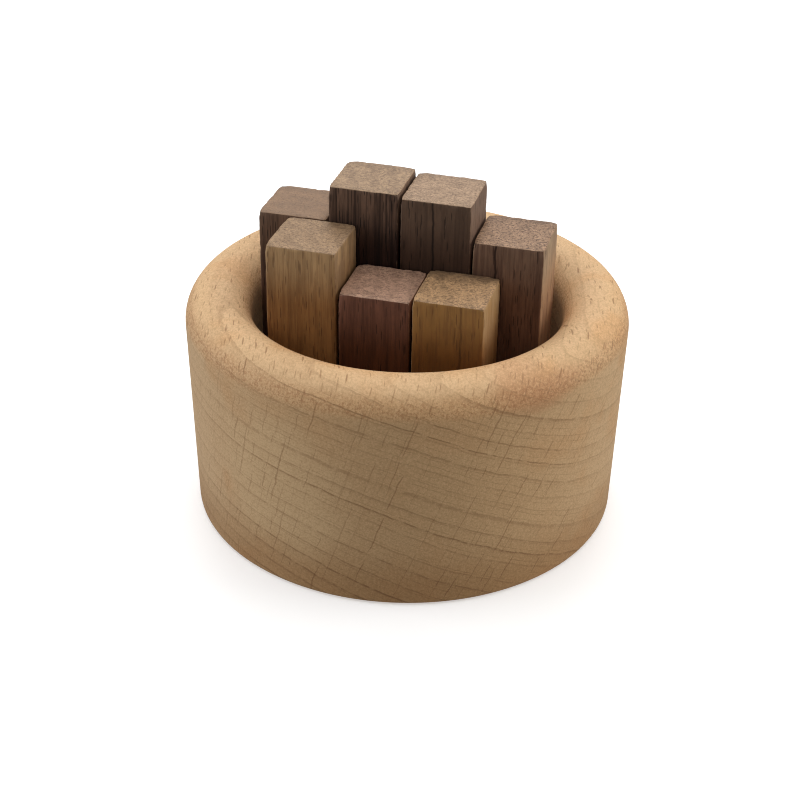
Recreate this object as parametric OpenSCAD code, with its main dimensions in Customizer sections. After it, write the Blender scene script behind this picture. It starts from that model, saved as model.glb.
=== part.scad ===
// A packing puzzle of square walnut sticks that stand in a turned beech cup.
// Millimetres, +Z up. The origin is the centre of the cup's underside, and the rows of
// sticks run along X, with the front row towards -Y.

/* [Cup] */
// Widest diameter of the cup, at the foot of its rounded lip
cup_d = 60; // [60:0.5:64]
// Height of the cup without the sticks
cup_h = 31.8; // [30:0.2:34]
// Angle in degrees by which the wall leans outwards as it rises
wall_lean = 1.4; // [0:0.1:2.5]
// Radius of the rounding on each side of the lip
lip_r = 4.2; // [3:0.1:4.4]
// Radius that the edge of the foot is eased to
foot_r = 0.9; // [0.4:0.1:1.5]

/* [Well] */
// Diameter of the round well that holds the sticks
well_d = 42.2; // [41.8:0.1:42.4]
// Thickness of the wood under the well
floor_t = 7.5; // [5:0.5:9]

/* [Sticks] */
// Side of every square stick
stick_w = 9.4; // [9:0.1:9.5]
// Gap between neighbouring sticks
stick_gap = 0.3; // [0.2:0.05:0.35]
// Radius that the sawn edges of a stick are eased to
edge_r = 0.25; // [0.15:0.05:0.8]

/* [Rows] */
// How far the front row has settled along X from the middle of the well
front_shift = -0.7; // [-0.8:0.1:0.8]
// The same for the middle row
middle_shift = -0.1; // [-0.8:0.1:0.8]
// The same for the back row
back_shift = 0.4; // [-0.8:0.1:0.8]

/* [Stick lengths] */
// Steps in a short stick, each step half the pitch of the sticks
short_steps = 6; // [5:1:7]
// Steps in a medium stick
medium_steps = 7; // [6:1:8]
// Steps in a long stick
long_steps = 8; // [7:1:9]

/* [Hidden] */

$fn = 96;
pitch = stick_w + stick_gap;
step = pitch / 2;
well_r = well_d / 2;

// Centres of the lip's two round edges
lip_z = cup_h - lip_r;
lip_outer_x = cup_d / 2 - lip_r;
lip_inner_x = well_r + lip_r;

// Rows, each with its place from the middle one, its shift and how many sticks stand in it
front_row = [-1, front_shift, 3];
middle_row = [0, middle_shift, 4];
back_row = [1, back_shift, 3];

// Colours of the two woods, by the board that a piece was sawn from
beech = [0.84, 0.69, 0.51];
golden_walnut = [0.48, 0.36, 0.21];
brown_walnut = [0.36, 0.27, 0.19];
plum_walnut = [0.40, 0.29, 0.25];

// Distance from the axis to the straight part of the wall, at height z
function wall_x(z) = lip_outer_x + lip_r / cos(wall_lean) - (lip_z - z) * tan(wall_lean);

// Point where the straight wall touches a round edge of radius r about [x, z]
function wall_tangent(x, z, r) = [x + r * cos(wall_lean), z - r * sin(wall_lean)];

// Position along X of the stick in place i of a row
function row_x(i, row) = row[1] + (i - (row[2] - 1) / 2) * pitch;

// Half of the cup's section, to the right of its axis
module cup_section() {
    foot_x = wall_x(foot_r) - foot_r / cos(wall_lean);
    difference() {
        union() {
            polygon([
                [0, 0],
                [foot_x, 0],
                wall_tangent(foot_x, foot_r, foot_r),
                wall_tangent(lip_outer_x, lip_z, lip_r),
                [lip_outer_x, lip_z],
                [0, lip_z]]);
            translate([foot_x, foot_r]) circle(foot_r);
            translate([lip_outer_x, lip_z]) circle(lip_r);
            translate([lip_inner_x, lip_z]) circle(lip_r);
            translate([lip_inner_x, lip_z]) square([lip_outer_x - lip_inner_x, lip_r]);
        }
        translate([0, floor_t]) square([well_r, cup_h]);
    }
}

// A rectangle w by h about the origin, with its corners rounded to r
module eased_rectangle(w, h, r) {
    square([w - 2 * r, h], center = true);
    square([w, h - 2 * r], center = true);
    for (x = [-1, 1], y = [-1, 1])
        translate([x * (w / 2 - r), y * (h / 2 - r)]) circle(r, $fn = 32);
}

// A square bar that stands on z = 0, with all of its edges eased
module square_bar(length) {
    intersection() {
        linear_extrude(length)
            eased_rectangle(stick_w, stick_w, edge_r);
        translate([0, stick_w / 2, length / 2]) rotate([90, 0, 0])
            linear_extrude(stick_w)
                eased_rectangle(stick_w, length, edge_r);
        translate([-stick_w / 2, 0, length / 2]) rotate([90, 0, 90])
            linear_extrude(stick_w)
                eased_rectangle(stick_w, length, edge_r);
    }
}

// A stick in place i of a row. trim is what the saw left over or took off.
module standing_stick(i, row, steps, trim) {
    translate([row_x(i, row), row[0] * pitch, floor_t])
        square_bar(steps * step + trim);
}

module cup() {
    color(beech) rotate_extrude() cup_section();
}

module front_left_stick() {
    color(golden_walnut)
        standing_stick(0, front_row, medium_steps, 0.5);
}

module front_middle_stick() {
    color(plum_walnut)
        standing_stick(1, front_row, short_steps, -0.1);
}

module front_right_stick() {
    color(golden_walnut)
        standing_stick(2, front_row, short_steps, 0.4);
}

module middle_outer_left_stick() {
    color(brown_walnut)
        standing_stick(0, middle_row, medium_steps, 0.5);
}

module middle_inner_left_stick() {
    color(brown_walnut)
        standing_stick(1, middle_row, long_steps, 0.4);
}

module middle_inner_right_stick() {
    color(brown_walnut)
        standing_stick(2, middle_row, long_steps, -0.1);
}

module middle_outer_right_stick() {
    color(plum_walnut)
        standing_stick(3, middle_row, medium_steps, -0.1);
}

module back_left_stick() {
    color(golden_walnut)
        standing_stick(0, back_row, short_steps, 0);
}

module back_middle_stick() {
    color(brown_walnut)
        standing_stick(1, back_row, short_steps, 0.2);
}

module back_right_stick() {
    color(plum_walnut)
        standing_stick(2, back_row, short_steps, -0.4);
}

cup();
front_left_stick();
front_middle_stick();
front_right_stick();
middle_outer_left_stick();
middle_inner_left_stick();
middle_inner_right_stick();
middle_outer_right_stick();
back_left_stick();
back_middle_stick();
back_right_stick();
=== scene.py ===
"""A packing puzzle: square walnut sticks that stand in the round well of a turned beech cup.

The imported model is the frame, in metres, +Z up, with its origin at the centre of the cup's
underside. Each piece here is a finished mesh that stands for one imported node, and every place
comes from that node's box.
"""

import logging
import math
from dataclasses import dataclass, field, replace
from enum import Enum
from typing import Any

import bmesh
import bpy
from mathutils import Matrix, Vector, noise


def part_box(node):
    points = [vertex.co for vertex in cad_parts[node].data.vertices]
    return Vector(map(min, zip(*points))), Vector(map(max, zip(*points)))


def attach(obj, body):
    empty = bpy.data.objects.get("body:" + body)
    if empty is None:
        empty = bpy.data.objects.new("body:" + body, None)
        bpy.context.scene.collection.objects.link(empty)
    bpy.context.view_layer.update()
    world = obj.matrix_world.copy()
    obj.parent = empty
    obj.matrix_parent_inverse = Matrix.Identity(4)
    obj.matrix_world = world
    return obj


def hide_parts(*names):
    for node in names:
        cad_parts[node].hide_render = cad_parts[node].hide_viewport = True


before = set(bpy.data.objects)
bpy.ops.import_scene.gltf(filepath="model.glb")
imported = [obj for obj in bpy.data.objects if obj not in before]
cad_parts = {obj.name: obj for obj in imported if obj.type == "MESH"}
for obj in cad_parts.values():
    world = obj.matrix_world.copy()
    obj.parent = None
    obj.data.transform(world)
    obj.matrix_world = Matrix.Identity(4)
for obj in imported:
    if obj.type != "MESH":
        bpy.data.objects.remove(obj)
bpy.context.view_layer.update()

MM = 0.001

# How deep the grain of both woods is pressed into the surface, and how glossy they are
RELIEF = 0.08 * MM
RELIEF_STRENGTH = 0.5
SHINE = 0.25

LOG = logging.getLogger("stick_puzzle")

Colour = tuple[float, float, float]


# ---- Shader graphs ----


class Value:
    """A number on a shader socket, which takes part in Python sums."""

    def __init__(self, graph: "Graph", socket: bpy.types.NodeSocket) -> None:
        """Keeps the socket and the graph that it belongs to."""
        self.graph = graph
        self.socket = socket

    def __add__(self, other: Any) -> "Value":
        """self + other"""
        return self.graph.math("ADD", self, other)

    def __radd__(self, other: Any) -> "Value":
        """other + self"""
        return self.graph.math("ADD", other, self)

    def __sub__(self, other: Any) -> "Value":
        """self - other"""
        return self.graph.math("SUBTRACT", self, other)

    def __rsub__(self, other: Any) -> "Value":
        """other - self"""
        return self.graph.math("SUBTRACT", other, self)

    def __mul__(self, other: Any) -> "Value":
        """self * other"""
        return self.graph.math("MULTIPLY", self, other)

    def __rmul__(self, other: Any) -> "Value":
        """other * self"""
        return self.graph.math("MULTIPLY", other, self)

    def __truediv__(self, other: Any) -> "Value":
        """self / other"""
        return self.graph.math("DIVIDE", self, other)

    def __rtruediv__(self, other: Any) -> "Value":
        """other / self"""
        return self.graph.math("DIVIDE", other, self)

    def __pow__(self, other: Any) -> "Value":
        """self ** other"""
        return self.graph.math("POWER", self, other)

    def __rpow__(self, other: Any) -> "Value":
        """other ** self"""
        return self.graph.math("POWER", other, self)

    def __abs__(self) -> "Value":
        """abs(self)"""
        return self.graph.math("ABSOLUTE", self)

    def floor(self) -> "Value":
        """The whole number at or below the value."""
        return self.graph.math("FLOOR", self)

    def fraction(self) -> "Value":
        """What is left of the value over its floor."""
        return self.graph.math("FRACT", self)

    def least(self, other: Any) -> "Value":
        """The smaller of the two."""
        return self.graph.math("MINIMUM", self, other)

    def most(self, other: Any) -> "Value":
        """The larger of the two."""
        return self.graph.math("MAXIMUM", self, other)

    def ramp(self, low: float, high: float, to_low: float = 0.0, to_high: float = 1.0) -> "Value":
        """Eases from to_low at low to to_high at high, and stays there beyond them.

        Args:
            low: The value at which the ramp starts.
            high: The value at which the ramp ends.
            to_low: The result at low.
            to_high: The result at high.

        Returns:
            The eased value.
        """
        return self.graph.node(
            "ShaderNodeMapRange",
            {"interpolation_type": "SMOOTHSTEP", "clamp": True},
            {"Value": self, "From Min": low, "From Max": high, "To Min": to_low, "To Max": to_high},
        )["Result"]


Spot = tuple[Value, Value, Value]


class Outputs:
    """A node's outputs by name, each as a Value."""

    def __init__(self, graph: "Graph", node: bpy.types.Node) -> None:
        """Keeps the node and its graph."""
        self.graph = graph
        self.node = node

    def __getitem__(self, name: str) -> Value:
        """The output of that name which is in use."""
        return Value(self.graph, in_use(self.node.outputs, name))


def in_use(sockets: Any, name: str) -> bpy.types.NodeSocket:
    """The socket of that name which is switched on, as a Mix node has several of each name."""
    return next(s for s in sockets if s.enabled and s.name == name)


class Graph:
    """The node tree of one material or of the world, and the ways to add to it."""

    def __init__(self, tree: bpy.types.NodeTree) -> None:
        """Empties the tree, so that the graph starts clean."""
        self.tree = tree
        tree.nodes.clear()

    def node(self, kind: str, settings: dict[str, Any], sockets: dict[str, Any]) -> Outputs:
        """Adds one node.

        Args:
            kind: The node's type, such as ShaderNodeTexNoise.
            settings: What is set on the node before its sockets, by property.
            sockets: A value or a link for each input, by name.

        Returns:
            The node's outputs.
        """
        made = self.tree.nodes.new(kind)
        for name, value in settings.items():
            setattr(made, name, value)
        for name, value in sockets.items():
            self._plug(in_use(made.inputs, name), value)
        return Outputs(self, made)

    def _plug(self, socket: bpy.types.NodeSocket, value: Any) -> None:
        """Links a Value to the socket, or sets it to a number, a colour or a vector.

        Args:
            socket: The input.
            value: What goes in.
        """
        if isinstance(value, Value):
            self.tree.links.new(value.socket, socket)
        elif socket.type == "RGBA" and len(value) == 3:
            socket.default_value = (*value, 1.0)
        else:
            socket.default_value = value

    def math(self, operation: str, *values: Any) -> Value:
        """Adds a Math node and fills its inputs in order.

        Args:
            operation: The Math node's operation.
            *values: Numbers or Values.

        Returns:
            The result.
        """
        made = self.tree.nodes.new("ShaderNodeMath")
        made.operation = operation
        for socket, value in zip(made.inputs, values):
            self._plug(socket, value)
        return Value(self, made.outputs[0])

    def mix(self, share: Any, first: Any, second: Any, blend: str = "MIX") -> Value:
        """Mixes two colours.

        Args:
            share: How much of the second colour shows, from 0 to 1.
            first: The colour at 0.
            second: The colour at 1.
            blend: The Mix node's blend type.

        Returns:
            The mixed colour.
        """
        return self.node(
            "ShaderNodeMix",
            {"data_type": "RGBA", "blend_type": blend, "clamp_factor": True},
            {"Factor": share, "A": first, "B": second},
        )["Result"]

    def vector(self, x: Any, y: Any, z: Any) -> Value:
        """A vector of three numbers or Values."""
        return self.node("ShaderNodeCombineXYZ", {}, {"X": x, "Y": y, "Z": z})["Vector"]

    def parts(self, vector: Value) -> Spot:
        """The X, Y and Z of a vector."""
        split = self.node("ShaderNodeSeparateXYZ", {}, {"Vector": vector})
        return split["X"], split["Y"], split["Z"]

    def noise(self, vector: Value, scale: float, detail: float = 2.0, rough: float = 0.5) -> Value:
        """Soft noise from 0 to 1, about 0.5.

        Args:
            vector: Where the noise is read.
            scale: How many features there are to a unit of the vector.
            detail: How many finer layers are added.
            rough: How strong the finer layers are.

        Returns:
            The noise.
        """
        return self.node(
            "ShaderNodeTexNoise",
            {"noise_dimensions": "3D"},
            {"Vector": vector, "Scale": scale, "Detail": detail, "Roughness": rough},
        )["Fac"]

    def random(self, cell: Value) -> Outputs:
        """Random numbers that stay the same all over a cell: Value is one, and Color is three."""
        return self.node("ShaderNodeTexWhiteNoise", {"noise_dimensions": "3D"}, {"Vector": cell})

    def chance(self, cell: Value) -> Value:
        """One random number from 0 to 1 for a cell."""
        return self.random(cell)["Value"]


@dataclass(frozen=True)
class Flecks:
    """Short lens-shaped marks, one at a random place in each cell of a grid.

    The grid lies in the plane of two coordinates in millimetres, one across the marks and one
    along them.

    Attributes:
        across: Width of a cell.
        along: Length of a cell.
        share: The share of the cells that hold a mark.
        slide: How many cells a column may be shifted along by.
        core: How far out, squared, a mark shows at full strength.
        strong: The share of the marks that show at full strength.
    """

    across: float
    along: float
    half_width: float
    half_length: float
    share: float
    seed: float
    slide: float = 13.0
    core: float = 0.4
    strong: float = 0.4

    def mask(self, graph: Graph, u: Value, v: Value) -> Value:
        """Draws the marks.

        Args:
            graph: The graph to draw in.
            u: The coordinate across the marks.
            v: The coordinate along them.

        Returns:
            1 on a mark, falling to 0 at its edge.
        """
        u_cell = u / self.across
        column = u_cell.floor()
        v_cell = v / self.along + graph.chance(graph.vector(column, self.seed, 0.5)) * self.slide
        cell = graph.vector(column, v_cell.floor(), self.seed)
        place_u, place_v, present = graph.parts(graph.random(cell)["Color"])
        room_u = 0.5 - self.half_width / self.across
        room_v = 0.5 - self.half_length / self.along
        du = u_cell.fraction() - 0.5 - (place_u * 2.0 - 1.0) * room_u
        dv = v_cell.fraction() - 0.5 - (place_v * 2.0 - 1.0) * room_v
        off_u = (du * (self.across / self.half_width)) ** 2.0
        off_v = (dv * (self.along / self.half_length)) ** 2.0
        shown = present.ramp(1.0 - self.share, 1.0 - self.share * self.strong)
        return (off_u + off_v).ramp(1.0, self.core) * shown


@dataclass(frozen=True)
class Patch:
    """A part of the block whose wood differs a little in colour.

    Attributes:
        share: How strongly it shows at its middle.
        place: Its middle, in millimetres across the fibres, along them and up.
        reach: How far it goes each way, in millimetres.
        ragged: How far slow noise moves its outline.
    """

    colour: Colour
    share: float
    place: tuple[float, float, float]
    reach: tuple[float, float, float]
    ragged: float = 1.5

    def mask(self, spot: Spot, blush: Value) -> Value:
        """Draws the patch.

        Args:
            spot: The place across the fibres, along them and up, in millimetres.
            blush: Slow noise from 0 to 1.

        Returns:
            The patch's share at its middle, falling to 0 outside it.
        """
        x, y, z = (
            ((value - middle) / size) ** 2.0 for value, middle, size in zip(spot, self.place, self.reach)
        )
        outline = x + y + z + (blush - 0.5) * self.ragged
        return outline.ramp(1.2, 0.1) * self.share


# ---- Finishes ----


@dataclass(frozen=True)
class Beech:
    """Steamed beech, turned across the grain and sanded, as a solid pattern in the block.

    The fibres run level. Growth rings are circles about a pith below the block, so that the wall
    shows them as thin lines on its end grain, and rays stand square to them. Sizes are in
    millimetres, and a share says how strongly something shows, from 0 to 1.

    Attributes:
        pith_x: Where the pith lies across the fibres.
        pith_gap: A mean distance from the pith, which turns angles into lengths.
        drift: How far a ring strays slowly from its circle.
        waver: How far it strays over a short way.
        ray_waver: How far a ray strays sideways.
        fine_rings: How strong the fainter rings are beside the growth rings.
        patches: Places whose colour differs.
        foot_shade: The painted shade at the foot: what the colour is multiplied by there.
        fine_ray_share: How strong the smaller rays are beside the larger.
    """

    fibre_turn: float = math.radians(-14.6)
    pith_x: float = -41.0
    pith_z: float = -95.0
    pith_gap: float = 116.0
    drift: float = 2.4
    waver: float = 0.5
    ray_waver: float = 0.6
    ring_width: float = 2.1
    fine_ring_width: float = 0.83
    fine_rings: float = 0.55
    fine_shift: float = 0.7
    pale: Colour = (0.76, 0.51, 0.28)
    warm: Colour = (0.72, 0.41, 0.19)
    end_grain: Colour = (0.70, 0.445, 0.225)
    ring_line: Colour = (0.34, 0.18, 0.08)
    ray: Colour = (0.28, 0.125, 0.048)
    stipple: Colour = (0.40, 0.17, 0.07)
    patches: tuple[Patch, ...] = (
        Patch((0.86, 0.61, 0.335), 0.45, (-16.5, -25.0, 15.0), (11.0, 9.0, 12.0)),
        Patch((0.56, 0.24, 0.105), 0.55, (14.5, -22.5, 29.5), (8.5, 6.0, 3.0)),
    )
    foot_shade: Colour = (0.75, 0.67, 0.59)
    foot_height: float = 11.0
    bold_rays: Flecks = Flecks(1.5, 3.3, 0.105, 1.05, 0.95, 3.0)
    fine_rays: Flecks = Flecks(0.8, 2.2, 0.085, 0.6, 0.9, 7.0)
    fine_ray_share: float = 0.7
    shade_share: float = 0.16
    speckle_share: float = 0.30
    bloom_share: float = 0.34
    shoulder_share: float = 0.30
    lip_share: float = 0.14
    stipple_share: float = 0.46

    def material(self, name: str) -> bpy.types.Material:
        """Makes the finish.

        Args:
            name: The material's name.

        Returns:
            The material.
        """
        made, graph, shader = new_material(name)
        coordinates = graph.node("ShaderNodeTexCoord", {}, {})
        x, y, z = in_millimetres(graph, coordinates, Rotation=(0.0, 0.0, self.fibre_turn))
        _, _, nz = graph.parts(coordinates["Normal"])
        end = self._end_share(graph, coordinates["Normal"])
        radius, across = self._about_pith(graph, (x, y, z))
        line, shade = self._rings(graph, radius, across, y, self.ring_width)
        fine_line, _ = self._rings(graph, radius + self.fine_shift, across, y, self.fine_ring_width)
        line = line.most(fine_line * self.fine_rings)
        rays = self._rays(graph, radius, across, y)

        # Pores are too fine to see one by one, and show as speckle that runs along the fibres
        pores = graph.noise(graph.vector(x * 3.7, y * 2.3, z * 3.7), 1.0, 2.0, 0.8)
        colour = self._ground(graph, (x, y, z), nz, end)
        colour = graph.mix(shade * self.shade_share, colour, self.ring_line)
        colour = graph.mix(pores.ramp(0.50, 0.64) * self.speckle_share, colour, scaled(self.warm, 0.64))
        colour = graph.mix(pores.ramp(0.50, 0.36) * self.bloom_share, colour, scaled(self.pale, 1.22))
        colour = graph.mix(self._specks(graph, (x, y, z), nz), colour, self.stipple)

        # The end grain shows rings and rays more clearly than the sides, and the lip its rays most
        wall = nz.ramp(0.75, 0.15)
        colour = graph.mix(line * (end * 0.45 + 0.28), colour, self.ring_line)
        colour = graph.mix(rays * (0.62 - wall * (0.38 - end * 0.20)), colour, self.ray)
        # Painted shade: the wall darkens towards the foot.
        foot = z.ramp(self.foot_height, 1.0)
        colour = graph.mix(foot, colour, graph.mix(1.0, colour, self.foot_shade, "MULTIPLY"))

        height = (pores - 0.5) * 0.9 - line * 0.4 - rays * 0.5
        dress_shader(graph, shader, colour, pores.ramp(0.2, 0.8, 0.56, 0.70), height)
        return made

    def _about_pith(self, graph: Graph, spot: Spot) -> tuple[Value, Value]:
        """Where a place lies in the tree, as the rings and rays see it.

        Args:
            graph: The graph to work in.
            spot: The place across the fibres, along them and up.

        Returns:
            The distance from the pith, and the distance round it.
        """
        x, y, z = spot
        drift = graph.noise(graph.vector(x, y * 0.35, z), 0.045, 1.0) - 0.5
        waver = graph.noise(graph.vector(x, y * 0.5, z), 0.42, 2.0) - 0.5
        dx = x - self.pith_x
        dz = z - self.pith_z
        radius = (dx ** 2.0 + dz ** 2.0) ** 0.5 + drift * self.drift + waver * self.waver
        across = graph.math("ARCTAN2", dx, dz) * self.pith_gap + waver * self.ray_waver
        return radius, across

    @staticmethod
    def _rings(
        graph: Graph, radius: Value, across: Value, y: Value, width: float
    ) -> tuple[Value, Value]:
        """Growth rings of uneven width and strength.

        Args:
            graph: The graph to work in.
            radius: Distance from the pith.
            across: Distance round the rings.
            y: Distance along the fibres.
            width: The mean width of a ring.

        Returns:
            The thin dark line at the end of each ring, and the slow shade that leads up to it.
        """
        count = radius / width
        uneven = graph.noise(graph.vector(count, width, 0.0), 0.6, 1.0)
        count = count + (uneven - 0.5) * 1.3
        phase = count.fraction()
        strength = graph.chance(graph.vector(count.floor(), width, 1.0)) * 0.65 + 0.35
        broken = graph.noise(graph.vector(across * 0.6, y, radius), 0.9, 3.0, 0.65)
        line = phase.ramp(0.82, 0.93) * phase.ramp(1.0, 0.97) * strength * broken.ramp(0.34, 0.54)
        return line, phase.ramp(0.2, 1.0) * strength

    def _rays(self, graph: Graph, radius: Value, across: Value, y: Value) -> Value:
        """Rays, in broken lines that stand square to the rings.

        Args:
            graph: The graph to work in.
            radius: Distance from the pith.
            across: Distance round the rings.
            y: Distance along the fibres.

        Returns:
            1 on a ray, 0 beside it.
        """
        gaps = graph.noise(graph.vector(across * 1.1, y * 0.3, radius * 0.34), 1.0, 2.0)
        bold = self.bold_rays.mask(graph, across, y) * gaps.ramp(0.43, 0.52)
        fine = self.fine_rays.mask(graph, across + 0.37, y + 1.9) * gaps.ramp(0.60, 0.50)
        return bold.most(fine * self.fine_ray_share)

    def _ground(self, graph: Graph, spot: Spot, nz: Value, end: Value) -> Value:
        """The wood's colour before its rings, rays and pores.

        Args:
            graph: The graph to work in.
            spot: The place across the fibres, along them and up.
            nz: How far the surface faces up.
            end: How far it shows end grain.

        Returns:
            The colour.
        """
        blush = graph.noise(graph.vector(*spot), 0.12, 2.0)
        colour = graph.mix(end, self.pale, self.end_grain)
        colour = graph.mix(blush.ramp(0.50, 0.70) * (0.7 - end * 0.4), colour, self.warm)
        warmth = self._shoulder(nz) * self.shoulder_share + nz.ramp(0.05, 0.35) * self.lip_share
        colour = graph.mix(warmth, colour, self.warm)
        for patch in self.patches:
            colour = graph.mix(patch.mask(spot, blush), colour, patch.colour)
        return colour

    def _specks(self, graph: Graph, spot: Spot, nz: Value) -> Value:
        """Coarse dark specks, nearly all of them on the shoulder of the lip.

        Args:
            graph: The graph to work in.
            spot: The place across the fibres, along them and up.
            nz: How far the surface faces up.

        Returns:
            How strongly a speck shows.
        """
        x, y, z = spot
        coarse = graph.noise(graph.vector(x * 3.1, y * 2.4, z * 3.1 + 40.0), 1.0, 2.0, 0.8)
        return coarse.ramp(0.50, 0.58) * (self._shoulder(nz) * self.stipple_share + 0.03)

    @staticmethod
    def _shoulder(nz: Value) -> Value:
        """1 where the lip turns over, 0 on the wall and on the flat of the lip."""
        return nz.ramp(0.02, 0.25) * nz.ramp(0.85, 0.50)

    def _end_share(self, graph: Graph, normal: Value) -> Value:
        """How far the surface shows end grain.

        Args:
            graph: The graph to work in.
            normal: The surface's direction in the piece's own frame.

        Returns:
            0 on a face along the fibres, 1 on one square to them.
        """
        nx, ny, _ = graph.parts(normal)
        along = nx * math.sin(self.fibre_turn) + ny * math.cos(self.fibre_turn)
        return abs(along).ramp(0.42, 1.0)


@dataclass(frozen=True)
class Walnut:
    """Walnut sawn into a square stick and sanded. The fibres run up the stick.

    Each stick comes from its own place in a board, so it has its own colours and figure. Sizes
    are in millimetres, and a share says how strongly something shows, from 0 to 1.

    Attributes:
        deep: Painted shade low down on the stick: what the sides' colour is multiplied by there.
        deep_start: How far below the top the painted shade starts.
        calm: How much weaker the streaks are on the left and right.
        stain: Share of a painted shadow, a dark band along one side of the top.
        hair: Share of the finest streaks.
        grit: Share of the speckle on the ends.
        crack: Share of a dark seam up the front and back.
        crack_place: Its distance from the middle.
    """

    face: Colour
    flank: Colour
    streak: Colour
    end: Colour
    end_dark: Colour
    deep: Colour = (0.52, 0.42, 0.35)
    deep_start: float = 0.5
    deep_end: float = 8.5
    calm: float = 0.5
    stain: float = 0.3
    stain_turn: float = 1.57
    streaks: float = 0.5
    streak_width: float = 0.7
    hair: float = 0.45
    pores: float = 0.6
    grit: float = 0.7
    crack: float = 0.0
    crack_place: float = 0.0
    ring_turn: float = 0.4
    ring_width: float = 2.6
    scratch_turn: float = 0.7
    scratches: float = 0.3
    wear_and_highlight: float = 0.4
    seed: float = 0.0

    def material(self, name: str, centre: Vector, half: Vector) -> bpy.types.Material:
        """Makes the finish of one stick.

        Args:
            name: The material's name.
            centre: The stick's centre, in metres.
            half: Half of the stick's sizes, in metres.

        Returns:
            The material.
        """
        made, graph, shader = new_material(name)
        coordinates = graph.node("ShaderNodeTexCoord", {}, {})
        spot = in_millimetres(graph, coordinates, Location=-centre / MM)
        x, y, z = spot
        nx, _, nz = graph.parts(coordinates["Normal"])
        late = self._late_wood(graph, spot)
        pores = self._pores(graph, spot)
        hair = graph.noise(graph.vector(x * 5.0, y * 5.0, z * 0.2 + self.seed), 1.0, 2.0, 0.6)
        grit = graph.noise(graph.vector(x, y, z * 0.3 + self.seed), 2.7, 2.0, 0.85)

        side = self._side(graph, spot, abs(nx).ramp(0.4, 0.85), late, hair)
        side = graph.mix(pores * self.pores, side, scaled(self.streak, 0.35))
        # Painted shade: the sides darken further down the stick, as the well would shade them.
        painted_shade_mask = (half.z / MM - z).ramp(self.deep_start, self.deep_end)
        side = graph.mix(painted_shade_mask, side, graph.mix(1.0, side, self.deep, "MULTIPLY"))
        end = abs(nz).ramp(0.45, 0.85)
        colour = graph.mix(end, side, self._sawn_end(graph, spot, late, pores, grit))
        # Paled edges: partly sanding wear, partly a painted highlight along the rounded edges.
        worn_and_highlit = self._edge(graph, spot, half / MM)
        colour = graph.mix(worn_and_highlit * self.wear_and_highlight, colour, scaled(self.end, 0.95))

        height = (hair - 0.5) * 0.5 - pores * 0.8 + (grit - 0.5) * end * 0.9
        dress_shader(graph, shader, colour, hair.ramp(0.2, 0.8, 0.50, 0.64), height)
        return made

    def _late_wood(self, graph: Graph, spot: Spot) -> Value:
        """The dark late part of the growth rings, which bend gently across the stick.

        Args:
            graph: The graph to work in.
            spot: The place from the stick's centre.

        Returns:
            1 at the dark end of a ring, 0 at its start.
        """
        x, y, z = spot
        sway = graph.noise(graph.vector(x * 0.5, y * 0.5, z * 0.05 + self.seed), 0.35, 2.0)
        u, v = turned(x, y, self.ring_turn)
        ring = (u + v * v * 0.018 + (sway - 0.5) * 3.2 + self.seed * 3.1) / self.ring_width
        phase = ring.fraction()
        return phase.ramp(0.25, 0.96) * phase.ramp(1.0, 0.96)

    def _side(self, graph: Graph, spot: Spot, flank: Value, late: Value, hair: Value) -> Value:
        """The colour of the long faces, streaked along the fibres.

        Args:
            graph: The graph to work in.
            spot: The place from the stick's centre.
            flank: 1 on the left and right faces, 0 on the front and back.
            late: The late wood.
            hair: The finest streaks.

        Returns:
            The colour.
        """
        x, y, z = spot
        fine = 1.0 / self.streak_width
        streak = graph.noise(graph.vector(x * fine, y * fine, z * 0.04 + self.seed * 5.0), 1.0, 4.0, 0.66)
        mottle = graph.noise(graph.vector(x, y, z * 0.4 + self.seed * 2.0), 0.45, 3.0, 0.6)
        base = graph.mix(flank, self.face, self.flank)
        side = graph.mix(mottle.ramp(0.42, 0.62) * 0.5, base, scaled(self.face, 1.35))
        show = 1.0 - flank * self.calm
        side = graph.mix(streak.ramp(0.485, 0.585) * show * self.streaks, side, self.streak)
        side = graph.mix(late * show * self.streaks * 0.4, side, self.streak)
        side = graph.mix(hair.ramp(0.49, 0.61) * show * self.hair, side, self.streak)
        waver = graph.noise(graph.vector(0.0, y * 0.2, z * 0.3 + self.seed), 1.0, 2.0)
        crack = abs(x - self.crack_place + (waver - 0.5) * 0.9).ramp(0.22, 0.05)
        return graph.mix(crack * self.crack, side, scaled(self.streak, 0.4))

    def _sawn_end(self, graph: Graph, spot: Spot, late: Value, pores: Value, grit: Value) -> Value:
        """The colour of the ends, speckled and lightly scratched by the saw.

        Args:
            graph: The graph to work in.
            spot: The place from the stick's centre.
            late: The late wood.
            pores: The pores.
            grit: Fine noise from 0 to 1.

        Returns:
            The colour.
        """
        x, y, z = spot
        blotch = graph.noise(graph.vector(x, y, z * 0.3 + self.seed), 0.7, 2.0)
        top = graph.mix(blotch.ramp(0.42, 0.62) * 0.35, scaled(self.end, 1.1), self.end_dark)
        top = graph.mix(grit.ramp(0.50, 0.62) * self.grit, top, scaled(self.end_dark, 0.9))
        top = graph.mix(grit.ramp(0.48, 0.36) * self.grit * 0.8, top, scaled(self.end, 1.45))
        top = graph.mix(late * 0.25, top, self.end_dark)
        # Painted shadow: a dark band along one side of the top, at the back unless turned.
        stained = x * math.cos(self.stain_turn) + y * math.sin(self.stain_turn) + (blotch - 0.5) * 3.0
        top = graph.mix(stained.ramp(1.6, 4.6) * self.stain, top, scaled(self.end_dark, 0.75))
        top = graph.mix(pores * 0.4, top, scaled(self.end_dark, 0.45))
        u, v = turned(x, y, self.scratch_turn)
        scratch = graph.noise(graph.vector(u * 0.35, v * 3.6, self.seed), 1.0, 2.0).ramp(0.52, 0.7)
        return graph.mix(scratch * self.scratches, top, scaled(self.end, 1.25))

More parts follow.
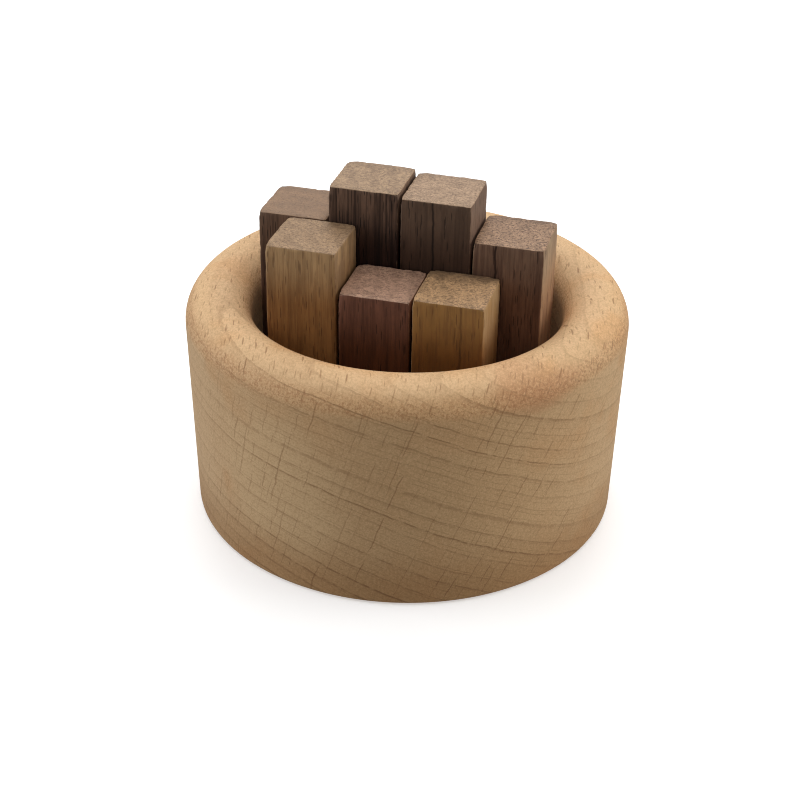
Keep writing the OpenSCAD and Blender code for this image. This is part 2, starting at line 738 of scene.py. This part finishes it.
    def _pores(self, graph: Graph, spot: Spot) -> Value:
        """Pores: thin tubes along the fibres, which a face cuts as dashes and an end as dots.

        Args:
            graph: The graph to work in.
            spot: The place from the stick's centre.

        Returns:
            1 in a pore, 0 beside it.
        """
        x, y, z = spot
        near = graph.node(
            "ShaderNodeTexVoronoi",
            {"voronoi_dimensions": "3D", "feature": "F1"},
            {
                "Vector": graph.vector(x / 0.32, y / 0.32, z / 3.2 + self.seed * 7.0),
                "Scale": 1.0,
                "Randomness": 1.0,
            },
        )["Distance"]
        crowd = graph.noise(graph.vector(x * 0.6, y * 0.6, z * 0.03 + self.seed), 1.0, 1.0)
        return near.ramp(0.30, 0.20) * crowd.ramp(0.36, 0.54)

    def _edge(self, graph: Graph, spot: Spot, half: Vector) -> Value:
        """Where the edges are paled: partly sanding and handling wear, partly a painted highlight where
        the rounded edges catch the light.

        Args:
            graph: The graph to work in.
            spot: The place from the stick's centre.
            half: Half of the stick's sizes, in millimetres.

        Returns:
            1 on an edge, 0 a little way in from it.
        """
        x, y, z = spot
        gap_x, gap_y, gap_z = (size - abs(value) for size, value in zip(half, spot))
        second = gap_x.least(gap_y).most(gap_x.most(gap_y).least(gap_z))
        ragged = graph.noise(graph.vector(x, y, z + self.seed), 0.9, 3.0)
        return (second + (ragged - 0.5) * 0.5).ramp(0.16, 0.02)


def scaled(colour: Colour, share: float) -> Colour:
    """A colour at a share of its brightness."""
    return tuple(min(c * share, 1.0) for c in colour)


def turned(x: Value, y: Value, angle: float) -> tuple[Value, Value]:
    """Coordinates in axes that are turned about Z.

    Args:
        x: The first coordinate.
        y: The second coordinate.
        angle: How far the axes are turned, in radians.

    Returns:
        The two new coordinates.
    """
    along = x * math.cos(angle) + y * math.sin(angle)
    across = y * math.cos(angle) - x * math.sin(angle)
    return along, across


def in_millimetres(graph: Graph, coordinates: Outputs, **placing: Any) -> Spot:
    """Object coordinates in millimetres, placed by a Mapping node's Location or Rotation."""
    sockets = {"Vector": coordinates["Object"], "Scale": (1.0 / MM,) * 3, **placing}
    place = graph.node("ShaderNodeMapping", {"vector_type": "POINT"}, sockets)
    return graph.parts(place["Vector"])


def new_material(name: str) -> tuple[bpy.types.Material, Graph, bpy.types.Node]:
    """Starts a material.

    Args:
        name: The material's name.

    Returns:
        The material, its graph and its main shader.
    """
    made = bpy.data.materials.new(name)
    made.use_nodes = True
    graph = Graph(made.node_tree)
    shader = graph.node("ShaderNodeBsdfPrincipled", {}, {})
    graph.node("ShaderNodeOutputMaterial", {}, {"Surface": shader["BSDF"]})
    return made, graph, shader.node


def dress_shader(
    graph: Graph, shader: bpy.types.Node, colour: Value, rough: Value, height: Value
) -> None:
    """Links a wood's finish to its shader.

    Args:
        graph: The material's graph.
        shader: The main shader.
        colour: The colour over the surface.
        rough: The roughness over the surface.
        height: The relief of the grain, where 1 is RELIEF high.
    """
    bump = {"Strength": RELIEF_STRENGTH, "Distance": RELIEF, "Height": height}
    normal = graph.node("ShaderNodeBump", {}, bump)["Normal"]
    for name, value in (("Base Color", colour), ("Roughness", rough), ("Normal", normal)):
        graph.tree.links.new(value.socket, shader.inputs[name])
    shader.inputs["Specular IOR Level"].default_value = SHINE


# ---- Pieces ----


def finished_piece(mesh: bmesh.types.BMesh, name: str) -> bpy.types.Object:
    """Turns a bmesh into an object at the origin, with smooth faces.

    Args:
        mesh: The bmesh, which is freed.
        name: The piece's name.

    Returns:
        The object.
    """
    for face in mesh.faces:
        face.smooth = True
    data = bpy.data.meshes.new(name)
    mesh.to_mesh(data)
    mesh.free()
    made = bpy.data.objects.new(name, data)
    bpy.context.scene.collection.objects.link(made)
    return made


@dataclass
class TurnedCup:
    """The cup: one block of beech with a leaning wall, a thick round lip and a flat-bottomed well."""

    node: str = "cup"
    body: str = "cup"
    slot: str = "beech"
    steps: int = 256
    well_radius: float = 21.1 * MM
    floor: float = 7.5 * MM
    lip_round: float = 4.2 * MM
    lean: float = math.radians(1.4)
    foot_round: float = 0.9 * MM
    floor_round: float = 0.5 * MM
    inset: float = 0.004 * MM
    lip_segments: int = 14
    foot_segments: int = 5
    floor_segments: int = 3
    weld_gap: float = 1e-6
    ring_gap: float = 1e-5
    finish: Beech = field(default_factory=Beech)

    def build(self) -> bpy.types.Object:
        """Spins the section and rounds its corners.

        Returns:
            The cup.
        """
        _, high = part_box(self.node)
        radius = high.x + self.lip_round * math.tan(self.lean) - self.inset
        foot = radius - high.z * math.tan(self.lean)
        section = [
            (0.0, 0.0),
            (foot, 0.0),
            (radius, high.z),
            (self.well_radius, high.z),
            (self.well_radius, self.floor),
            (0.0, self.floor),
        ]
        mesh = bmesh.new()
        corners = [mesh.verts.new((x, 0.0, z)) for x, z in section]
        edges = [mesh.edges.new(pair) for pair in zip(corners, corners[1:])]
        bmesh.ops.spin(
            mesh,
            geom=corners + edges,
            cent=(0.0, 0.0, 0.0),
            axis=(0.0, 0.0, 1.0),
            angle=math.tau,
            steps=self.steps,
            use_merge=True,
        )
        bmesh.ops.remove_doubles(mesh, verts=mesh.verts, dist=self.weld_gap)
        bmesh.ops.recalc_face_normals(mesh, faces=mesh.faces)
        self._round_ring(mesh, radius, high.z, self.lip_round, self.lip_segments)
        self._round_ring(mesh, self.well_radius, high.z, self.lip_round, self.lip_segments)
        self._round_ring(mesh, foot, 0.0, self.foot_round, self.foot_segments)
        self._round_ring(mesh, self.well_radius, self.floor, self.floor_round, self.floor_segments)
        return finished_piece(mesh, "turned_cup")

    def _round_ring(
        self, mesh: bmesh.types.BMesh, radius: float, height: float, size: float, segments: int
    ) -> None:
        """Rounds the sharp ring at one corner of the section.

        Args:
            mesh: The cup.
            radius: The ring's distance from the axis.
            height: The ring's height.
            size: How far the rounding reaches from the corner.
            segments: How many facets it has.
        """

        def on_ring(vert: bmesh.types.BMVert) -> bool:
            """Whether the vertex lies on the ring."""
            off_ring = max(abs(vert.co.xy.length - radius), abs(vert.co.z - height))
            return off_ring < self.ring_gap

        ring = [edge for edge in mesh.edges if all(on_ring(v) for v in edge.verts)]
        bmesh.ops.bevel(
            mesh,
            geom=ring,
            offset=size,
            offset_type="OFFSET",
            segments=segments,
            profile=0.5,
            affect="EDGES",
            material=-1,
        )

    def dress(self, piece: bpy.types.Object) -> None:
        """Gives the cup its finish and its place in the frame.

        Args:
            piece: The cup.
        """
        piece.data.materials.append(self.finish.material("beech_turned"))
        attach(piece, self.body)
        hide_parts(self.node)


class Board(Enum):
    """The walnut boards that the sticks were sawn from."""

    GOLDEN = "golden_walnut"
    BROWN = "brown_walnut"
    PLUM = "plum_walnut"


@dataclass
class SawnStick:
    """One square stick: sawn to length, its edges eased by sanding and a little bruised."""

    node: str
    board: Board
    finish: Walnut
    seed: float
    upright_ease: float = 0.25 * MM
    rim_ease: float = 0.13 * MM
    ease_segments: int = 3
    mesh_gap: float = 0.33 * MM
    unevenness: float = 0.03 * MM
    bruise: float = 0.2 * MM
    corner_wear: float = 0.2 * MM
    uneven_scale: float = 0.22
    knock_scale: float = 0.55
    nick_scale: float = 1.5
    edge_reach: float = 0.7 * MM
    corner_reach: float = 1.4 * MM
    cut_gap: float = 1e-7

    def build(self) -> bpy.types.Object:
        """Shapes the stick inside its node's box.

        Returns:
            The stick.
        """
        low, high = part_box(self.node)
        centre = (low + high) / 2
        size = high - low
        mesh = bmesh.new()
        bmesh.ops.create_cube(mesh, size=1.0)
        bmesh.ops.scale(mesh, vec=size, verts=mesh.verts)
        bmesh.ops.translate(mesh, vec=centre, verts=mesh.verts)
        uprights = [e for e in mesh.edges if abs(e.verts[0].co.z - e.verts[1].co.z) > size.z / 2]
        self._ease(mesh, uprights, self.upright_ease)
        rims = [e for e in mesh.edges if abs(e.verts[0].co.z - e.verts[1].co.z) < size.z / 2]
        self._ease(mesh, rims, self.rim_ease)
        for axis, ease in enumerate((self.upright_ease, self.upright_ease, self.rim_ease)):
            self._slice(mesh, axis, low[axis] + ease, high[axis] - ease)
        self._handle(mesh, centre, size / 2)
        return finished_piece(mesh, self.node.replace("_stick", "_sawn_stick"))

    def _ease(self, mesh: bmesh.types.BMesh, edges: list[bmesh.types.BMEdge], size: float) -> None:
        """Rounds some edges.

        Args:
            mesh: The stick.
            edges: The edges.
            size: How far the rounding reaches from each edge.
        """
        bmesh.ops.bevel(
            mesh,
            geom=edges,
            offset=size,
            offset_type="OFFSET",
            segments=self.ease_segments,
            profile=0.5,
            affect="EDGES",
            material=-1,
        )

    def _slice(self, mesh: bmesh.types.BMesh, axis: int, start: float, end: float) -> None:
        """Cuts the faces into a grid fine enough to take small dents.

        Args:
            mesh: The stick.
            axis: 0, 1 or 2, for cuts square to X, Y or Z.
            start: Where the flat of the faces starts along that axis.
            end: Where it ends.
        """
        count = max(2, round((end - start) / self.mesh_gap))
        direction = Vector([float(i == axis) for i in range(3)])
        for i in range(1, count):
            bmesh.ops.bisect_plane(
                mesh,
                geom=mesh.verts[:] + mesh.edges[:] + mesh.faces[:],
                dist=self.cut_gap,
                plane_co=direction * (start + (end - start) * i / count),
                plane_no=direction,
            )

    def _handle(self, mesh: bmesh.types.BMesh, centre: Vector, half: Vector) -> None:
        """Moves the surface inwards a little: uneven faces, and bruises along the edges.

        Args:
            mesh: The stick.
            centre: The stick's centre.
            half: Half of its sizes.
        """
        mesh.normal_update()
        away = Vector((17.0, 5.0, 11.0)) * self.seed
        moves = []
        for vert in mesh.verts:
            gaps = sorted(half[i] - abs(vert.co[i] - centre[i]) for i in range(3))
            near_edge = max(0.0, 1.0 - gaps[1] / self.edge_reach)
            near_corner = max(0.0, 1.0 - gaps[2] / self.corner_reach)
            spot = vert.co / MM + away
            uneven = 0.5 + 0.5 * noise.noise(spot * self.uneven_scale)
            knock = max(0.0, noise.noise(spot * self.knock_scale) + 0.12)
            nick = max(0.0, noise.noise(spot * self.nick_scale) - 0.08)
            depth = self.unevenness * uneven
            depth += self.bruise * near_edge ** 2 * (0.55 * knock + 0.9 * nick)
            depth += self.corner_wear * near_corner ** 2
            moves.append((vert, vert.normal * -depth))
        for vert, move in moves:
            vert.co += move

    def dress(self, piece: bpy.types.Object) -> None:
        """Gives the stick its finish and its place in the frame.

        Args:
            piece: The stick.
        """
        low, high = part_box(self.node)
        name = self.node.replace("_stick", "_walnut")
        piece.data.materials.append(self.finish.material(name, (low + high) / 2, (high - low) / 2))
        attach(piece, self.node)
        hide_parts(self.node)


# ---- Studio ----


@dataclass(frozen=True)
class Softbox:
    """A square soft light, placed as the camera sees it and turned to the object.

    Distances are in metres and the power is in watts.
    """

    name: str
    right: float
    back: float
    up: float
    size: float
    power: float
    tint: Colour = (1.0, 1.0, 1.0)


@dataclass
class Studio:
    """The camera, a plain pale floor and soft light."""

    camera_distance: float = 236.05 * MM
    camera_azimuth: float = math.radians(14.57)
    camera_elevation: float = math.radians(33.47)
    camera_roll: float = math.radians(0.87)
    lens: float = 73.2042
    sensor: float = 36.0
    nearest: float = 10.0 * MM
    look_right: float = -0.806 * MM
    look_up: float = 13.57 * MM
    world_strength: float = 0.27
    floor_colour: Colour = (0.9, 0.9, 0.9)
    floor_roughness: float = 0.9
    floor_glow: float = 0.4
    glow_start: float = 0.1
    glow_end: float = 0.8
    floor_radius: float = 3.0
    backdrop_radius: float = 4.0
    light_aim: float = 20.0 * MM
    edge_blend: float = 1.1
    softboxes: tuple[Softbox, ...] = (
        Softbox("overhead_softbox", 0.0, 0.0, 0.8, 0.8, 2.8),
        Softbox("back_softbox", 0.0, 0.6, 0.6, 0.6, 2.7),
        Softbox("right_softbox", 0.8, 0.0, 0.25, 0.5, 2.8, (1.0, 0.99, 0.96)),
        Softbox("left_softbox", -0.8, 0.0, 0.25, 0.5, 2.45, (0.96, 1.0, 1.07)),
    )

    def build(self) -> None:
        """Makes everything that isn't part of the object."""
        self._camera()
        self._floor()
        self._backdrop()
        self._world()
        self._softboxes()
        bpy.context.scene.view_settings.view_transform = "Standard"
        bpy.context.scene.cycles.filter_width = self.edge_blend

    def _toward_camera(self) -> Vector:
        """The level direction from the object to the camera."""
        return Vector((math.sin(self.camera_azimuth), -math.cos(self.camera_azimuth), 0.0))

    def _right(self) -> Vector:
        """The level direction to the camera's right."""
        return Vector((math.cos(self.camera_azimuth), math.sin(self.camera_azimuth), 0.0))

    def _camera(self) -> None:
        """Makes the camera."""
        data = bpy.data.cameras.new("camera")
        data.lens = self.lens
        data.sensor_width = self.sensor
        data.clip_start = self.nearest
        camera = bpy.data.objects.new("camera", data)
        bpy.context.scene.collection.objects.link(camera)
        level = self._toward_camera() * math.cos(self.camera_elevation)
        spot = (level + Vector((0.0, 0.0, math.sin(self.camera_elevation)))) * self.camera_distance
        target = self._right() * self.look_right + Vector((0.0, 0.0, self.look_up))
        turn = (target - spot).to_track_quat("-Z", "Y").to_matrix().to_4x4()
        roll = Matrix.Rotation(self.camera_roll, 4, "Z")
        camera.matrix_world = Matrix.Translation(spot) @ turn @ roll
        bpy.context.scene.camera = camera

    @staticmethod
    def _only_seen(piece: bpy.types.Object) -> None:
        """Lets the camera see a piece that neither lights nor shades the others.

        Args:
            piece: The piece.
        """
        piece.visible_diffuse = False
        piece.visible_glossy = False
        piece.visible_shadow = False

    def _floor(self) -> None:
        """Makes the floor, which the object stands on."""
        mesh = bmesh.new()
        bmesh.ops.create_circle(mesh, cap_ends=True, segments=96, radius=self.floor_radius)
        floor = finished_piece(mesh, "floor")
        made, graph, shader = new_material("floor_white")
        shader.inputs["Base Color"].default_value = (*self.floor_colour, 1.0)
        shader.inputs["Roughness"].default_value = self.floor_roughness
        shader.inputs["Specular IOR Level"].default_value = 0.0
        place = graph.node("ShaderNodeTexCoord", {}, {})["Object"]
        reach = graph.node("ShaderNodeVectorMath", {"operation": "LENGTH"}, {"Vector": place})["Value"]
        far = reach.ramp(self.glow_start, self.glow_end)
        glow = graph.mix(far, (self.floor_glow,) * 3, (1.0, 1.0, 1.0))
        graph.tree.links.new(glow.socket, shader.inputs["Emission Color"])
        shader.inputs["Emission Strength"].default_value = 1.0
        floor.data.materials.append(made)
        self._only_seen(floor)

    def _backdrop(self) -> None:
        """Makes the white surroundings that the camera sees behind the floor."""
        mesh = bmesh.new()
        bmesh.ops.create_uvsphere(mesh, u_segments=48, v_segments=24, radius=self.backdrop_radius)
        bmesh.ops.reverse_faces(mesh, faces=mesh.faces)
        backdrop = finished_piece(mesh, "backdrop")
        made, _, shader = new_material("backdrop_white")
        shader.inputs["Base Color"].default_value = (0.0, 0.0, 0.0, 1.0)
        shader.inputs["Emission Color"].default_value = (1.0, 1.0, 1.0, 1.0)
        shader.inputs["Emission Strength"].default_value = 1.0
        backdrop.data.materials.append(made)
        self._only_seen(backdrop)
        backdrop.visible_transmission = False

    def _world(self) -> None:
        """Makes the even light that comes from all round."""
        world = bpy.data.worlds.new("studio")
        world.use_nodes = True
        graph = Graph(world.node_tree)
        light = graph.node(
            "ShaderNodeBackground", {}, {"Color": (1.0, 1.0, 1.0), "Strength": self.world_strength}
        )
        graph.node("ShaderNodeOutputWorld", {}, {"Surface": light["Background"]})
        bpy.context.scene.world = world

    def _softboxes(self) -> None:
        """Hangs a softbox overhead, one behind it, and one at each side."""
        up = Vector((0.0, 0.0, 1.0))
        for box in self.softboxes:
            data = bpy.data.lights.new(box.name, "AREA")
            data.shape = "SQUARE"
            data.size = box.size
            data.energy = box.power
            data.color = box.tint
            light = bpy.data.objects.new(box.name, data)
            bpy.context.scene.collection.objects.link(light)
            spot = self._right() * box.right - self._toward_camera() * box.back + up * box.up
            turn = (up * self.light_aim - spot).to_track_quat("-Z", "Y").to_matrix().to_4x4()
            light.matrix_world = Matrix.Translation(spot) @ turn


# ---- The puzzle ----


def sticks() -> list[SawnStick]:
    """The ten sticks, each with its own wood.

    Returns:
        The sticks in the order of the rows, from the front and from the left.
    """
    woods = {
        Board.GOLDEN: Walnut(
            face=(0.51, 0.325, 0.16),
            flank=(0.36, 0.23, 0.122),
            streak=(0.21, 0.10, 0.04),
            end=(0.375, 0.24, 0.135),
            end_dark=(0.19, 0.115, 0.062),
            streaks=0.28,
            hair=0.3,
            pores=0.45,
        ),
        Board.PLUM: Walnut(
            face=(0.182, 0.078, 0.049),
            flank=(0.24, 0.12, 0.075),
            streak=(0.06, 0.023, 0.016),
            end=(0.42, 0.255, 0.172),
            end_dark=(0.20, 0.115, 0.08),
            streaks=0.35,
            hair=0.28,
            scratches=0.5,
            stain=0.0,
        ),
        Board.BROWN: Walnut(
            face=(0.19, 0.115, 0.075),
            flank=(0.24, 0.15, 0.10),
            streak=(0.028, 0.014, 0.010),
            end=(0.385, 0.255, 0.152),
            end_dark=(0.22, 0.14, 0.088),
            deep=(0.50, 0.43, 0.42),
        ),
    }

    def stick(seed: float, node: str, board: Board, **own: Any) -> SawnStick:
        """One stick, whose wood differs in its own ways from the rest of its board."""
        return SawnStick(node, board, replace(woods[board], seed=seed, **own), seed)

    return [
        stick(
            0.0, "front_left_stick", Board.GOLDEN,
            deep=(0.55, 0.41, 0.27),
            ring_turn=0.9, stain=0.4, stain_turn=0.8,
        ),
        stick(1.0, "front_middle_stick", Board.PLUM, deep=(0.52, 0.38, 0.23), ring_turn=0.2),
        stick(
            2.0, "front_right_stick", Board.GOLDEN,
            face=(0.335, 0.178, 0.056),
            flank=(0.54, 0.35, 0.175),
            end=(0.45, 0.272, 0.138),
            deep=(0.52, 0.39, 0.28),
            grit=0.75, stain=0.9, crack=0.5, crack_place=1.7,
        ),
        stick(
            3.0, "middle_outer_left_stick", Board.BROWN,
            face=(0.175, 0.103, 0.066),
            end=(0.315, 0.193, 0.114),
            streaks=0.35, hair=0.28, ring_turn=1.45, grit=0.45,
        ),
        stick(
            4.0, "middle_inner_left_stick", Board.BROWN,
            face=(0.175, 0.103, 0.068),
            deep=(0.19, 0.13, 0.13),
            streaks=0.75, streak_width=0.42, pores=0.8,
        ),
        stick(
            5.0, "middle_inner_right_stick", Board.BROWN,
            face=(0.134, 0.082, 0.053),
            flank=(0.28, 0.18, 0.125),
            end=(0.42, 0.28, 0.178),
            streaks=0.2, hair=0.2, ring_turn=1.5, scratches=0.5, crack=0.8, crack_place=-0.3,
        ),
        stick(
            6.0, "middle_outer_right_stick", Board.PLUM,
            face=(0.205, 0.122, 0.079),
            flank=(0.54, 0.375, 0.225),
            deep=(0.78, 0.64, 0.58),
            end=(0.38, 0.235, 0.145),
            end_dark=(0.17, 0.10, 0.06),
            calm=0.75, grit=1.0, ring_turn=0.6, stain=0.5, crack=0.9, crack_place=-1.6,
        ),
        stick(7.0, "back_left_stick", Board.GOLDEN, ring_turn=2.0),
        stick(8.0, "back_middle_stick", Board.BROWN, ring_turn=2.6, streaks=0.8),
        stick(9.0, "back_right_stick", Board.PLUM, ring_turn=0.9),
    ]


def main() -> None:
    """Builds the studio, the cup and the sticks."""
    logging.basicConfig(level=logging.INFO, format="%(name)s: %(message)s")
    Studio().build()
    for maker in [TurnedCup(), *sticks()]:
        piece = maker.build()
        maker.dress(piece)
        LOG.info("%s: %d faces", piece.name, len(piece.data.polygons))


if __name__ == "__main__":
    main()
